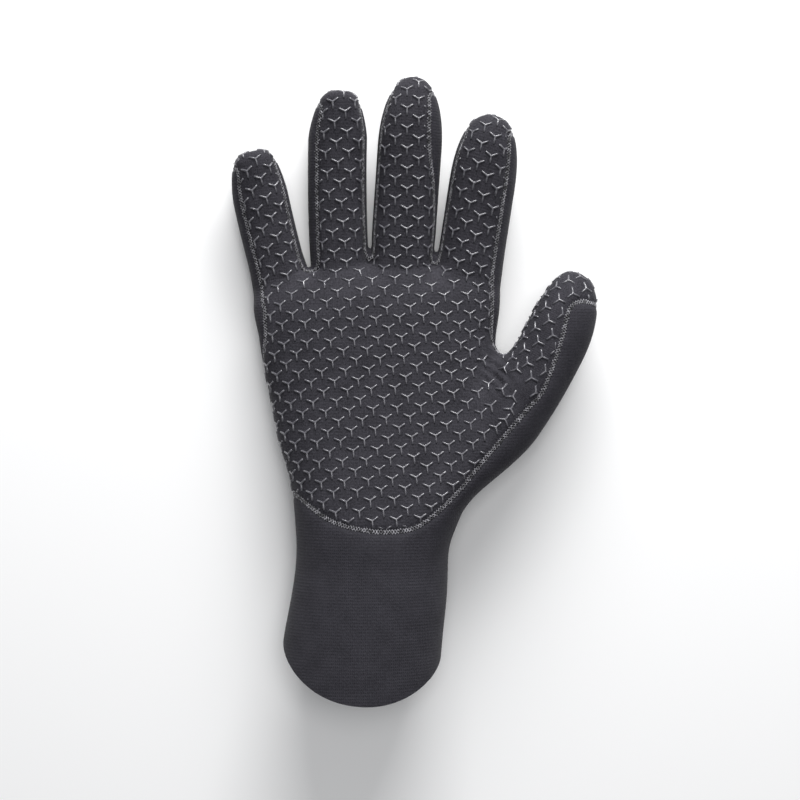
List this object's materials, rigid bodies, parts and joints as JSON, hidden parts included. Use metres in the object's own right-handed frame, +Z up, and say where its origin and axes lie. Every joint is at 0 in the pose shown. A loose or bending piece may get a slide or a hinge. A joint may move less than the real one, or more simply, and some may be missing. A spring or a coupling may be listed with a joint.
{
  "type": "diving glove",
  "caption": "Right-hand five-finger neoprene diving glove with a plain cuff and a slanted hem, lying on its back with the palm up.",
  "frame": {"origin": "middle of the glove's footprint on the surface that it lies on", "axes": "+X to the thumb side, +Y to the fingertips, +Z up, out of the palm"},
  "size_m": [0.1564, 0.2654, 0.05],
  "materials": {
    "palm_neoprene": "charcoal nylon jersey on neoprene foam",
    "back_neoprene": "charcoal ribbed nylon jersey on neoprene foam",
    "grip_print": "raised glossy silicone print",
    "seam_thread": "dark nylon thread"
  },
  "bodies": {
    "root": {"palm_panel": "palm_neoprene", "back_panel": "back_neoprene"}
  },
  "joints": []
}
